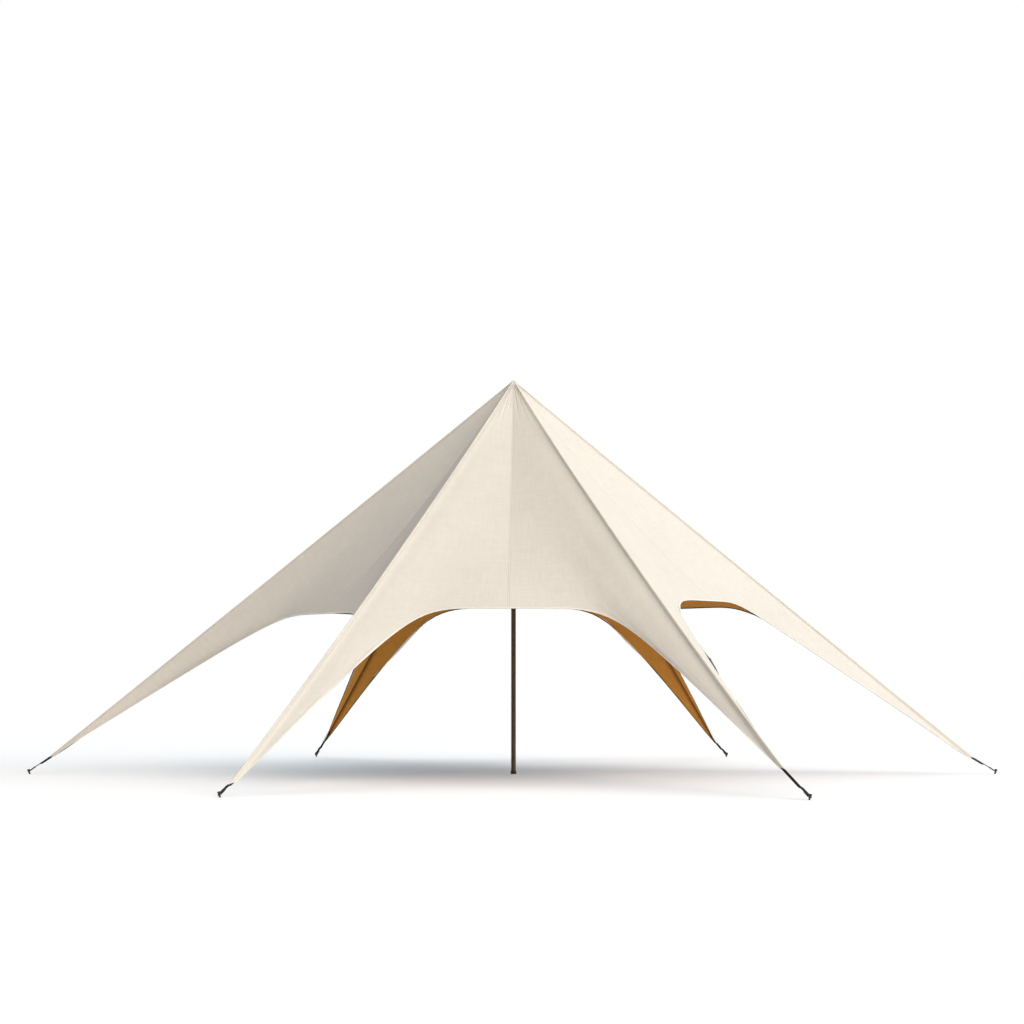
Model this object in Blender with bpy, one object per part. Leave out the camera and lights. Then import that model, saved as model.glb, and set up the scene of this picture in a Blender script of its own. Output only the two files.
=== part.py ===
"""Star tent: one mast, six arms, six arched bays of canvas, straps and pegs.

Metres, +Z up. The origin is the centre of the mast's foot, on the ground.
The front bay looks along -Y and the right arm points along +X.
"""
import math

import bmesh
import bpy
from mathutils import Vector

# Driving dimensions, in metres and degrees
PEAK_HEIGHT = 4.889
PEAK_HOLE = 0.007          # radius of the eyelet at the peak
CLOTH = 0.008              # thickness of a canvas panel, measured straight down
GAP = 0.0004               # clearance between neighbouring pieces
SEAM_GAP = 0.0002          # half the clearance between two panels
HEM_POWER = 6              # power of the hem's hyperbola: larger keeps the arch flatter at its crown
CREASE_FADE = 2.5          # how late the valley crease fades on its way down to the hem
VALLEY_SAG = 0.12          # how far the valley seam hangs below a straight line

BAND_HALF_WIDTH = 0.018    # ridge band, from the ridge line to its edge, seen from above
BAND_TOP_SLOPE = 1.0       # drop of the band's side for its half width, at the peak
BAND_TIP_SLOPE = 2.0       # and at the arm's tip, where the two sides hang steeply
BAND_FULL_AT = 0.125       # share of the ridge after which the band has its full width
BAND_PEAK_SHARE = 0.06     # share of that width at the eyelet
BAND_GAP = 0.0008          # height of the band over the panels, where its sides slope
BAND_THICKNESS = 0.003
TAPE_WIDTH = 0.012
TAPE_TIP_WIDTH = 0.003
TAPE_THICKNESS = 0.004
TAPE_GAP = 0.0009          # the tape's outer edge hangs this far under the hem
TAPE_DIP = 0.004           # the tape's inner edge hangs this much lower, clear of the panel's underside

POLE_RADIUS = 0.029
FOOT_RADIUS = 0.036
FOOT_HEIGHT = 0.038
HEAD_RADIUS = 0.045
HEAD_SKIRT = 0.030
PIN_RADIUS = 0.0055

STRAP_WIDTH = 0.025
STRAP_THICKNESS = 0.003
STRAP_BELOW_TIP = 0.006    # the strap leaves the cloth this far below the ridge
RING_BAR = 0.0045          # radius of the ring's round bar
RING_HALF_WIDTH = 0.019
RING_CORNER = 0.005
RING_LENGTH = 0.105        # from the ring's straight bar to its far end, between bar centres
RING_HEIGHT = 0.022        # of that far end, which pulls on the peg
PEG_RADIUS = 0.010
PEG_HEIGHT = 0.060
PEG_HEAD_RADIUS = 0.018
PEG_HEAD_HEIGHT = 0.013
PEG_LEAN = 0.35            # outward lean for each metre of height

ACROSS_STEPS = 8           # facets from the valley seam to the ridge band
DOWN_STEPS = 14            # facets from the peak to the hem

# Each arm: direction in degrees, reach and height of the cloth's tip, reach of the peg, sag of the ridge
ARMS = {
    "right": dict(angle=0.0, reach=5.65, tip=0.23, peg=5.945, sag=0.01),
    "rear_right": dict(angle=59.0, reach=5.70, tip=0.236, peg=6.03, sag=0.06),
    "rear_left": dict(angle=119.0, reach=5.64, tip=0.266, peg=5.92, sag=0.06),
    "left": dict(angle=180.0, reach=5.70, tip=0.242, peg=5.975, sag=0.01),
    "front_left": dict(angle=238.5, reach=5.555, tip=0.164, peg=5.755, sag=0.09),
    "front_right": dict(angle=299.0, reach=5.655, tip=0.327, peg=6.12, sag=0.09),
}

# Each bay: its two arms, left first as seen from outside, where its arch is highest, and the
# rounding of each half of the arch: 0 is a straight leg, larger stays flat for longer
BAYS = {
    "front": dict(arms=("front_left", "front_right"), radius=2.70, height=1.984, rounding=(0.38, 0.43)),
    "right_front": dict(arms=("front_right", "right"), radius=2.73, height=2.10, rounding=(0.43, 0.26)),
    "right_rear": dict(arms=("right", "rear_right"), radius=2.67, height=2.075, rounding=(0.50, 0.39)),
    "rear": dict(arms=("rear_right", "rear_left"), radius=2.71, height=2.11, rounding=(0.42, 0.44)),
    "left_rear": dict(arms=("rear_left", "left"), radius=2.86, height=2.015, rounding=(0.44, 0.50)),
    "left_front": dict(arms=("left", "front_left"), radius=2.50, height=1.956, rounding=(0.62, 0.38)),
}
HALVES = ("left", "right")


def clear_scene():
    for item in list(bpy.data.objects):
        bpy.data.objects.remove(item, do_unlink=True)


def make_material(name, color, roughness, metallic=0.0):
    material = bpy.data.materials.new(name)
    material.use_nodes = True
    shader = material.node_tree.nodes["Principled BSDF"]
    shader.inputs["Base Color"].default_value = (*color, 1.0)
    shader.inputs["Roughness"].default_value = roughness
    shader.inputs["Metallic"].default_value = metallic
    return material


def add_object(name, points, faces, material, smooth_angle=None):
    """One named object from points and faces, with its normals turned outwards."""
    mesh = bpy.data.meshes.new(name)
    mesh.from_pydata([tuple(point) for point in points], [], faces)
    shell = bmesh.new()
    shell.from_mesh(mesh)
    bmesh.ops.recalc_face_normals(shell, faces=shell.faces)
    shell.to_mesh(mesh)
    shell.free()
    mesh.materials.append(material)
    if smooth_angle is not None:
        mesh.shade_smooth()
        mesh.set_sharp_from_angle(angle=math.radians(smooth_angle))
    item = bpy.data.objects.new(name, mesh)
    bpy.context.collection.objects.link(item)
    return item


def ring_faces(first, second):
    """Quads between two closed rings of point numbers."""
    count = len(first)
    return [(first[i], first[(i + 1) % count], second[(i + 1) % count], second[i]) for i in range(count)]


def loft_object(name, rings, material, smooth_angle=None):
    """A closed body through a list of rings, with a flat cap at each end."""
    count = len(rings[0])
    points = [point for ring in rings for point in ring]
    numbers = [[row * count + i for i in range(count)] for row in range(len(rings))]
    faces = [face for row in range(len(rings) - 1) for face in ring_faces(numbers[row], numbers[row + 1])]
    faces.append(tuple(reversed(numbers[0])))
    faces.append(tuple(numbers[-1]))
    return add_object(name, points, faces, material, smooth_angle)


def turned(name, profile, material, sides=24, lean=Vector((0, 0, 0)), at=Vector((0, 0, 0))):
    """A round piece from (radius, height) pairs; lean shifts each ring sideways for its height."""
    rings = []
    for radius, height in profile:
        centre = at + lean * height + Vector((0, 0, height))
        turn = [math.tau * i / sides for i in range(sides)]
        rings.append([centre + Vector((radius * math.cos(a), radius * math.sin(a), 0)) for a in turn])
    return loft_object(name, rings, material, smooth_angle=40)


def direction(degrees):
    return Vector((math.cos(math.radians(degrees)), math.sin(math.radians(degrees)), 0))


def sideways(vector):
    """The level direction a quarter turn anticlockwise from a level one."""
    return Vector((-vector.y, vector.x, 0))


def line_with_sag(start, end, sag, share):
    """A point on the line from start to end, hanging below it by a parabola."""
    point = start.lerp(end, share)
    point.z -= 4 * sag * share * (1 - share)
    return point


def arch(share, rounding):
    """Sixth-power hyperbola from 0 at the arch's crown to 1 at the tip: flat first, then a straight leg."""
    start = rounding ** HEM_POWER
    rise = (start + share ** HEM_POWER) ** (1 / HEM_POWER) - rounding
    return rise / ((start + 1) ** (1 / HEM_POWER) - rounding)


def ridge_point(arm, down):
    """A point on an arm's ridge; down runs from 0 at the eyelet to 1 at the cloth's tip."""
    out = direction(arm["angle"])
    slope = (PEAK_HEIGHT - arm["tip"]) / arm["reach"]
    start = out * PEAK_HOLE + Vector((0, 0, PEAK_HEIGHT - slope * PEAK_HOLE))
    end = out * arm["reach"] + Vector((0, 0, arm["tip"]))
    return line_with_sag(start, end, arm["sag"], down)


def band_width(down):
    """Half the ridge band's width seen from above."""
    return BAND_HALF_WIDTH * min(1.0, BAND_PEAK_SHARE + down / BAND_FULL_AT)


def band_edge(arm, down, side):
    """The ridge band's edge on one side (+1 is anticlockwise): beside the ridge and below it."""
    width = band_width(down)
    slope = BAND_TOP_SLOPE + (BAND_TIP_SLOPE - BAND_TOP_SLOPE) * down ** 3
    beside = sideways(direction(arm["angle"])) * side * width
    return ridge_point(arm, down) + beside - Vector((0, 0, width * slope))


def bay_middle(bay):
    """The level direction halfway between a bay's two arms."""
    first, second = [ARMS[name]["angle"] for name in bay["arms"]]
    if second < first:
        second += 360
    return direction((first + second) / 2)


def valley_point(bay, down):
    """A point on the bay's middle seam, from the eyelet to the crown of the arch."""
    middle = bay_middle(bay)
    slope = (PEAK_HEIGHT - bay["height"]) / bay["radius"]
    start = middle * PEAK_HOLE + Vector((0, 0, PEAK_HEIGHT - slope * PEAK_HOLE))
    end = middle * bay["radius"] + Vector((0, 0, bay["height"]))
    return line_with_sag(start, end, VALLEY_SAG, down)


def panel_point(bay, half, across, down):
    """A point of a half bay: across is 0 on the valley seam and 1 on the ridge band's edge.

    Seen from above it moves evenly sideways. Outwards and downwards it follows the straight
    crease near the peak and the arch's curve near the hem, blended by a power of down.
    """
    number = HALVES.index(half)
    arm = ARMS[bay["arms"][number]]
    side = 1 - 2 * number
    middle = bay_middle(bay)
    beside = sideways(middle)
    valley = valley_point(bay, down)
    edge = band_edge(arm, down, side)
    fade = down ** CREASE_FADE
    bend = (1 - fade) * across + fade * arch(across, bay["rounding"][number])
    offset = edge - valley
    sidestep = beside * offset.dot(beside)
    return valley + sidestep * across + (offset - sidestep) * bend


def panel_grid(bay, half):
    """Rows of points from the peak to the hem; each row ends with a point on the ridge itself."""
    number = HALVES.index(half)
    arm = ARMS[bay["arms"][number]]
    side = 1 - 2 * number
    off_valley = sideways(bay_middle(bay)) * -side * SEAM_GAP
    grid = []
    for row in range(DOWN_STEPS + 1):
        down = row / DOWN_STEPS
        points = [panel_point(bay, half, step / ACROSS_STEPS, down) for step in range(ACROSS_STEPS + 1)]
        points[0] = points[0] + off_valley
        points.append(ridge_point(arm, down).lerp(band_edge(arm, down, side), SEAM_GAP / band_width(down)))
        grid.append(points)
    return grid


def slab(name, grid, rise_bottom, rise_top, material, mirrored_from=None):
    """A closed body between a grid of points shifted to two heights.

    Each quad is cut from its first corner; columns from mirrored_from on are cut the other way.
    """
    rows, columns = len(grid), len(grid[0])
    flat = [point for row in grid for point in row]
    points = [point + Vector((0, 0, rise_bottom)) for point in flat]
    points += [point + Vector((0, 0, rise_top)) for point in flat]
    layer = rows * columns
    faces = []
    for row in range(rows - 1):
        for column in range(columns - 1):
            corner = row * columns + column
            quad = (corner, corner + 1, corner + columns + 1, corner + columns)
            if mirrored_from is not None and column >= mirrored_from:
                quad = quad[1:] + quad[:1]
            for piece in ((quad[0], quad[1], quad[2]), (quad[0], quad[2], quad[3])):
                faces.append(piece)
                faces.append(tuple(number + layer for number in reversed(piece)))
    border = [column for column in range(columns)]
    border += [row * columns + columns - 1 for row in range(1, rows)]
    border += [(rows - 1) * columns + column for column in range(columns - 2, -1, -1)]
    border += [row * columns for row in range(rows - 2, 0, -1)]
    faces += ring_faces(border, [number + layer for number in border])
    return add_object(name, points, faces, material, smooth_angle=35)


def make_panels(canvas):
    for bay_name, bay in BAYS.items():
        for half in HALVES:
            slab(f"{bay_name}_panel_{half}", panel_grid(bay, half), -CLOTH, 0, canvas)


def make_ridge_bands(webbing):
    """A folded strip over each ridge: edge, ridge line, other edge, just above the panels."""
    for arm_name, arm in ARMS.items():
        grid = []
        for row in range(DOWN_STEPS + 1):
            down = row / DOWN_STEPS
            grid.append([band_edge(arm, down, 1), ridge_point(arm, down), band_edge(arm, down, -1)])
        slab(f"{arm_name}_ridge_band", grid, BAND_GAP, BAND_GAP + BAND_THICKNESS, webbing, mirrored_from=1)


def hem_line(bay):
    """Points along a bay's hem, from its left tip to its right tip, with each one's share of the way."""
    line = []
    for half, order in (("left", range(ACROSS_STEPS, 0, -1)), ("right", range(0, ACROSS_STEPS + 1))):
        for step in order:
            share = step / ACROSS_STEPS
            line.append((panel_point(bay, half, share, 1.0), share))
    return line


def make_hem_tapes(webbing):
    """A flat tape under each hem; its width narrows towards the arms' tips."""
    for bay_name, bay in BAYS.items():
        line = hem_line(bay)
        rings = []
        for i, (point, share) in enumerate(line):
            before = line[max(i - 1, 0)][0]
            after = line[min(i + 1, len(line) - 1)][0]
            along = Vector((after.x - before.x, after.y - before.y, 0)).normalized()
            inward = sideways(along)
            width = TAPE_WIDTH + (TAPE_TIP_WIDTH - TAPE_WIDTH) * share
            outer = point - Vector((0, 0, CLOTH + TAPE_GAP))
            inner = outer + inward * width - Vector((0, 0, TAPE_DIP))
            low = Vector((0, 0, -TAPE_THICKNESS))
            rings.append([outer, inner, inner + low, outer + low])
        loft_object(f"{bay_name}_hem_tape", rings, webbing)


def make_mast(bronze, rubber, steel):
    """Foot, pole and head; the head's twelve facets lie just under the panels."""
    turned("mast_foot", [(FOOT_RADIUS, 0), (FOOT_RADIUS, FOOT_HEIGHT)], rubber)
    under_peak = []
    for ring_radius in (HEAD_RADIUS, PIN_RADIUS):
        ring = []
        for bay in BAYS.values():
            arm = ARMS[bay["arms"][0]]
            along_ridge = direction(arm["angle"]) * ring_radius
            ridge_slope = (PEAK_HEIGHT - arm["tip"] + 4 * arm["sag"]) / arm["reach"]
            along_valley = bay_middle(bay) * ring_radius
            valley_slope = (PEAK_HEIGHT - bay["height"] + 4 * VALLEY_SAG) / bay["radius"]
            for flat, slope in ((along_ridge, ridge_slope), (along_valley, valley_slope)):
                drop = slope * ring_radius + CLOTH + 2 * GAP
                ring.append(flat + Vector((0, 0, PEAK_HEIGHT - drop)))
        under_peak.append(ring)
    skirt_height = min(point.z for point in under_peak[0]) - HEAD_SKIRT
    skirt = [Vector((point.x, point.y, skirt_height)) for point in under_peak[0]]
    shoulder = [Vector((point.x * 0.6, point.y * 0.6, skirt_height - HEAD_SKIRT)) for point in skirt]
    pin_top = [Vector((point.x, point.y, PEAK_HEIGHT - CLOTH)) for point in under_peak[1]]
    loft_object("mast_head", [shoulder, skirt, under_peak[0], under_peak[1], pin_top], steel)
    top = skirt_height - HEAD_SKIRT - GAP
    turned("mast_pole", [(POLE_RADIUS, FOOT_HEIGHT + GAP), (POLE_RADIUS, top)], bronze)


def make_pegs(steel):
    shaft = PEG_HEIGHT - PEG_HEAD_HEIGHT
    profile = [(PEG_RADIUS, 0), (PEG_RADIUS, shaft), (PEG_HEAD_RADIUS, shaft), (PEG_HEAD_RADIUS, PEG_HEIGHT)]
    for arm_name, arm in ARMS.items():
        out = direction(arm["angle"])
        turned(f"{arm_name}_peg", profile, steel, sides=16, lean=out * PEG_LEAN, at=out * arm["peg"])


def pull_line(arm):
    """The straight line from the cloth's tip to the ring's far end, which strap and ring lie along.

    Gives the far end, the directions along the pull and square to it, the length and the slope.
    """
    off_peg = (RING_BAR + GAP) * math.hypot(1, PEG_LEAN)
    reach = arm["peg"] + PEG_LEAN * RING_HEIGHT + PEG_RADIUS + off_peg
    run = reach - arm["reach"]
    fall = arm["tip"] - STRAP_BELOW_TIP - RING_HEIGHT
    slope = math.atan2(fall, run)
    out, up = direction(arm["angle"]), Vector((0, 0, 1))
    along = out * math.cos(slope) - up * math.sin(slope)
    above = out * math.sin(slope) + up * math.cos(slope)
    return out * reach + up * RING_HEIGHT, along, above, math.hypot(run, fall), slope


def ring_path():
    """The ring's centre line in its own plane: a round end at the origin and a straight bar behind it."""
    path = []
    for step in range(9):
        turn = math.radians(-90 + 180 * step / 8)
        path.append((RING_HALF_WIDTH * (math.cos(turn) - 1), RING_HALF_WIDTH * math.sin(turn)))
    corner_x = RING_CORNER - RING_LENGTH
    corner_y = RING_HALF_WIDTH - RING_CORNER
    for first_turn, side in ((90, 1), (180, -1)):
        for step in range(4):
            turn = math.radians(first_turn + 90 * step / 3)
            bow = (RING_CORNER * math.cos(turn), RING_CORNER * math.sin(turn))
            path.append((corner_x + bow[0], corner_y * side + bow[1]))
    return path


def make_rings(steel):
    """A round bar carried along the closed centre line, which lies along the pull."""
    path = ring_path()
    sides = 8
    for arm_name, arm in ARMS.items():
        far_end, pull, above, _, _ = pull_line(arm)
        beside = sideways(direction(arm["angle"]))
        points, faces = [], []
        for i, (x, y) in enumerate(path):
            before, after = path[i - 1], path[(i + 1) % len(path)]
            along = Vector((after[0] - before[0], after[1] - before[1])).normalized()
            normal = (along.y, -along.x)
            for side in range(sides):
                turn = math.tau * side / sides
                reach = RING_BAR * math.cos(turn)
                place = pull * (x + normal[0] * reach) + beside * (y + normal[1] * reach)
                points.append(far_end + place + above * RING_BAR * math.sin(turn))
        for i in range(len(path)):
            first = [i * sides + side for side in range(sides)]
            second = [((i + 1) % len(path)) * sides + side for side in range(sides)]
            faces += ring_faces(first, second)
        add_object(f"{arm_name}_ring", points, faces, steel, smooth_angle=50)


def strap_outline(length):
    """Side view of a strap: a flat run from the cloth, and an eye round the ring's bar at its end.

    The eye's centre is the origin, and the run leaves it backwards to (-length, 0).
    """
    inner = RING_BAR + GAP
    outer = inner + STRAP_THICKNESS
    half_mouth = math.asin(STRAP_THICKNESS / 2 / outer)
    steps = 14
    sweep = math.tau - 2 * half_mouth
    arc = [math.pi + half_mouth + sweep * step / steps for step in range(steps + 1)]
    outside = [(outer * math.cos(a), outer * math.sin(a)) for a in arc]
    inside = [(inner * math.cos(a), inner * math.sin(a)) for a in arc]
    return outside, inside, [(-length, STRAP_THICKNESS / 2), (-length, -STRAP_THICKNESS / 2)]


def make_straps(webbing):
    """The side view carried across the strap's width."""
    for arm_name, arm in ARMS.items():
        far_end, pull, above, whole, slope = pull_line(arm)
        beside = sideways(direction(arm["angle"]))
        eye = far_end - pull * RING_LENGTH
        off_cloth = (GAP + STRAP_THICKNESS / 2 * math.sin(slope)) / math.cos(slope)
        outside, inside, end = strap_outline(whole - RING_LENGTH - off_cloth)
        profile = outside + inside + end
        count, total = len(outside), len(profile)
        points = []
        for side in (-1, 1):
            shift = beside * side * STRAP_WIDTH / 2
            points += [eye + shift + pull * x + above * z for x, z in profile]
        upper_corner, lower_corner = 2 * count, 2 * count + 1
        caps = [(i, i + 1, count + i + 1, count + i) for i in range(count - 1)]
        caps.append((count - 1, upper_corner, lower_corner, 0, count, 2 * count - 1))
        faces = []
        for cap in caps:
            faces.append(cap)
            faces.append(tuple(number + total for number in reversed(cap)))
        border = list(range(count)) + [upper_corner, lower_corner]
        faces += ring_faces(border, [number + total for number in border])
        hole = list(range(count, 2 * count))
        faces += ring_faces(hole, [number + total for number in hole])
        add_object(f"{arm_name}_strap", points, faces, webbing)


def main():
    clear_scene()
    canvas = make_material("canvas", (0.80, 0.74, 0.65), 0.9)
    edging = make_material("canvas_band", (0.74, 0.68, 0.59), 0.9)
    webbing = make_material("black_webbing", (0.02, 0.02, 0.02), 0.7)
    bronze = make_material("bronze_paint", (0.10, 0.075, 0.045), 0.45)
    rubber = make_material("black_rubber", (0.015, 0.015, 0.015), 0.8)
    steel = make_material("black_steel", (0.03, 0.03, 0.03), 0.4, metallic=0.8)
    make_mast(bronze, rubber, steel)
    make_panels(canvas)
    make_ridge_bands(edging)
    make_hem_tapes(webbing)
    make_straps(webbing)
    make_rings(steel)
    make_pegs(steel)


main()
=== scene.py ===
"""Star tent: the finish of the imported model, as sewn canvas on one mast.

Metres, +Z up. The front bay looks along -Y and the right arm points along +X.
Every surface here is a function of two parameters on a grid: across runs from a bay's
middle seam (0) to the ridge band (1), and down from the peak (0) to the hem (1).
"""
import math

import bmesh
import bpy
import numpy as np
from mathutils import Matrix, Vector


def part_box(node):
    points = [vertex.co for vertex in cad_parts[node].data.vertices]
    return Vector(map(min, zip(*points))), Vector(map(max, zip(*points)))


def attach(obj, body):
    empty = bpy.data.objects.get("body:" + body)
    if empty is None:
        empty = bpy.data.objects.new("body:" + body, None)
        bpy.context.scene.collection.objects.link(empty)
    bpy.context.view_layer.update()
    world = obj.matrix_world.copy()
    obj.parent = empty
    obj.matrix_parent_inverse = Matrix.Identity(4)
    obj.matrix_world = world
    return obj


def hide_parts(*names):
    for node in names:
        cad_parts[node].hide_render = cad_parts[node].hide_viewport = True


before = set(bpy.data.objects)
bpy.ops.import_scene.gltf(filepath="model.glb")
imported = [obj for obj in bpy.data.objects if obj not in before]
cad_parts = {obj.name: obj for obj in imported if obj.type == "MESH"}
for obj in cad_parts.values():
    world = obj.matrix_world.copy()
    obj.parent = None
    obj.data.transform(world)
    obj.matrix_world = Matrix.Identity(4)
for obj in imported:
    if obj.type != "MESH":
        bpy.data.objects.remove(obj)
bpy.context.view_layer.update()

bl_info = {
    "name": "Star Tent",
    "version": (1, 0, 0),
    "blender": (4, 5, 0),
    "location": "3D View > Sidebar > Star Tent",
    "description": "Sews the canvas, webbing and fittings of a six-armed star tent over its frame",
    "category": "Object",
}

BODY = "root"
UP = np.array([0.0, 0.0, 1.0])

# The frame's own dimensions, in metres
PEAK_HEIGHT = 4.889
PEAK_HOLE = 0.007
HEM_POWER = 6
CREASE_FADE = 2.5
VALLEY_SAG = 0.12
BAND_HALF_WIDTH = 0.018
BAND_TOP_SLOPE = 1.0
BAND_TIP_SLOPE = 2.0
BAND_FULL_AT = 0.125
BAND_PEAK_SHARE = 0.06
STRAP_BELOW_TIP = 0.006
RING_BAR = 0.0045
RING_HALF_WIDTH = 0.019
RING_CORNER = 0.005
RING_LENGTH = 0.105
RING_HEIGHT = 0.022
RING_OFF_PEG = 0.0004
PEG_RADIUS = 0.010
PEG_LEAN = 0.35
POLE_RADIUS = 0.029

# Each arm: direction, reach and height of the cloth's tip, reach of the peg, sag of the ridge
ARMS = {
    "right": dict(angle=0.0, reach=5.65, tip=0.23, peg=5.945, sag=0.01),
    "rear_right": dict(angle=59.0, reach=5.70, tip=0.236, peg=6.03, sag=0.06),
    "rear_left": dict(angle=119.0, reach=5.64, tip=0.266, peg=5.92, sag=0.06),
    "left": dict(angle=180.0, reach=5.70, tip=0.242, peg=5.975, sag=0.01),
    "front_left": dict(angle=238.5, reach=5.555, tip=0.164, peg=5.755, sag=0.09),
    "front_right": dict(angle=299.0, reach=5.655, tip=0.327, peg=6.12, sag=0.09),
}

# Each bay: its two arms, the crown and the roundings of its arch, and the flat cut of its two
# gores laid side by side: width, length and area
BAYS = {
    "front": dict(
        arms=("front_left", "front_right"), radius=2.70, height=1.984, rounding=(0.38, 0.43),
        cut=(2.95, 7.32), area=7.8),
    "right_front": dict(
        arms=("front_right", "right"), radius=2.73, height=2.10, rounding=(0.43, 0.26),
        cut=(3.00, 7.35), area=8.4),
    "right_rear": dict(
        arms=("right", "rear_right"), radius=2.67, height=2.075, rounding=(0.50, 0.39),
        cut=(2.95, 7.38), area=7.6),
    "rear": dict(
        arms=("rear_right", "rear_left"), radius=2.71, height=2.11, rounding=(0.42, 0.44),
        cut=(2.95, 7.38), area=7.5),
    "left_rear": dict(
        arms=("rear_left", "left"), radius=2.86, height=2.015, rounding=(0.44, 0.50),
        cut=(3.12, 7.38), area=8.2),
    "left_front": dict(
        arms=("left", "front_left"), radius=2.50, height=1.956, rounding=(0.62, 0.38),
        cut=(2.95, 7.38), area=7.9),
}

# Rows and columns of the cloth; above 1, the crowding draws rows towards the peak
HALF_COLUMNS = 40
ROLL_COLUMNS = 4
ROWS = 150
ROW_CROWDING = 1.35

# Relief of the cloth
SHOULDER_REACH = 0.15      # how far beside a ridge the cloth hangs steeper
PLEAT_PLACES = (0.16, 0.30, 0.43, 0.55, 0.66, 0.76, 0.85)
PLEAT_WIDTH = 0.035
GATHER_COUNT = 31          # puckers along the middle seam, from peak to hem
GATHER_PLACE = 0.05
GATHER_WIDTH = 0.035
GATHER_HEIGHT = 0.0011
DRAG_HEIGHT = 0.0012       # slanting pull lines above the hem

# What is sewn to the cloth
UNDER_BINDING = 0.0014     # clearance between the cloth and a strip
BAND_MARGIN = 0.012        # how far the ridge strip lies out on the flat cloth
BAND_MARGIN_LIFT = 1.25    # lift of those columns, as a share of the strip's own
BAND_STEEPEST = 2.5        # the most that a steep fold adds to the strip's lift, as a factor
BINDING_WIDTH = 0.024
ABOVE_HEM = 0.985          # the row that gives the cloth's slope at the hem
HEM_NARROW = 0.35          # share of the hem strips' width that is left at the arms' tips
HEM_FULL_AFTER = 1.6
TAPE_WIDTH = 0.017
TAPE_SPAN = (0.02, 0.80)
TAPE_MIDDLE = 0.4          # share of the tape's width at which its own map has its zero
TAPE_CLEARANCE = 0.0012
INNER_TAPE_HALF_WIDTH = 0.010
INNER_TAPE_START = 0.012
TONGUE_LENGTH = 0.080      # how far the ridge strip runs out over the strap
TONGUE_END = 0.10
TONGUE_FALL = 0.002
PATCH_STEPS = 13
PATCH_REACH = 0.018
PATCH_SCALLOP = 0.005
PATCH_TOP = 0.0035
PATCH_POINT = 0.0004
PATCH_LIFT = 0.0044
PATCH_LIFT_FALL = 0.0014
PATCH_COLUMN = 0.006       # metres along the patch's own map to a column

# Straps and fittings
STRAP_HALF_WIDTH = 0.0140
STRAP_THICKNESS = 0.0024
STRAP_START = 0.972        # share of the ridge where the strap comes out of the inner webbing
STRAP_UNDER_CLOTH = 0.0065
STRAP_FLAT_FROM = 0.10     # the strap stays folded lengthways until this close to its ring
RETURN_LENGTH = 0.085      # the strap's end, turned back through the ring
TAIL_TURN = -0.030         # where the loose end turns back, from the ring's far end
TAIL_TURN_RADIUS = 0.006
BUCKLE_FROM_RING = 0.040
BUCKLE_LENGTH = 0.030
BUCKLE_HALF_WIDTH = 0.018
BUCKLE_FRONT = 0.006
BUCKLE_CORNER = 0.005
BUCKLE_BAR = 0.0028
SLIDE_HALF_WIDTH = 0.017
SLIDE_BAR = 0.0024

# Turned pieces, as (radius, height) pairs from the bottom up; END_RADIUS closes their ends
END_RADIUS = 0.0002
PEG_PROFILE = (
    (END_RADIUS, 0.0), (PEG_RADIUS, 0.0), (PEG_RADIUS, 0.018), (0.0094, 0.026), (0.0094, 0.040),
    (0.0104, 0.0455), (0.0150, 0.0475), (0.0172, 0.0490), (0.0180, 0.0515), (0.0180, 0.0560),
    (0.0172, 0.0590), (0.0150, 0.0610), (0.0090, 0.0622), (END_RADIUS, 0.0626))
POLE_JOINT = 2.35          # where the two halves of the mast meet
POLE_GROOVE = 0.0007
POLE_BEVEL = 0.0012
FOOT_RIBS = 3
FOOT_RIB_PITCH = 0.008
FOOT_RIB_DEPTH = 0.0022

# Threads, stitches and dust of the finishes
CANVAS_THREADS = 620.0
STRIP_THREADS = 800.0
WEBBING_THREADS = 520.0
SEAM_STITCHES = dict(Row=0.009, Pitch=0.012, Thickness=0.0022)
WEBBING_STITCHES = dict(Row=0.0095, Pitch=0.005)
CANVAS_DUST = (0.55, 0.47, 0.36, 1.0)
STRIP_DUST = (0.50, 0.43, 0.33, 1.0)
WEBBING_DUST = (0.20, 0.18, 0.15, 1.0)
METAL_DUST = (0.24, 0.21, 0.17, 1.0)

# How a grid closes into a shell: in its rows, in its columns, and with caps on its end rows
SHEET = (False, False, False)
SLEEVE = (False, True, False)
TUBE = (False, True, True)
LOOP = (True, True, False)

# Each light: name, the direction that it comes from, strength, colour, and spread in degrees
LIGHTS = (
    ("key_light", (1.0, -0.15, 0.5), 1.14, (0.80, 1.0, 1.20), 40.0),
    ("front_light", (0.74, -0.8, 0.6), 1.92, (1.12, 1.0, 0.83), 50.0),
    ("top_light", (0.0, 0.0, 1.0), 1.46, (1.06, 1.0, 0.92), 90.0),
)
LIGHT_DISTANCE = 30.0
SKY_COLOUR = (0.70, 1.0, 1.40, 1.0)
WHITE = (1.0, 1.0, 1.0, 1.0)
FLOOR_COLOURS = ((0.931, 0.818, 0.773, 1.0), (0.948, 0.832, 0.786, 1.0))
FLOOR_GLOW_COLOUR = (0.21, 0.75, 0.98, 1.0)
FLOOR_RINGS = (0.01, 3.0, 8.0, 20.0, 60.0, 240.0)
FLOOR_SIDES = 96
FLOOR_GAP = 0.0006

CAMERA_DISTANCE = 28.7
CAMERA_HEIGHT = 1.392
CAMERA_SHIFT_LEFT = 0.0186
CAMERA_PITCH = 3.69
CAMERA_LENS = 81.25
CAMERA_SENSOR = 36
CAMERA_SIGHT = 500


# Shapes

def direction(degrees):
    """The level unit vector that points that many degrees from +X."""
    return np.array([math.cos(math.radians(degrees)), math.sin(math.radians(degrees)), 0.0])


def sideways(vector):
    """The level direction a quarter turn anticlockwise."""
    return np.array([-vector[1], vector[0], 0.0])


def unit(vectors):
    return vectors / np.linalg.norm(vectors, axis=-1, keepdims=True)


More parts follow.
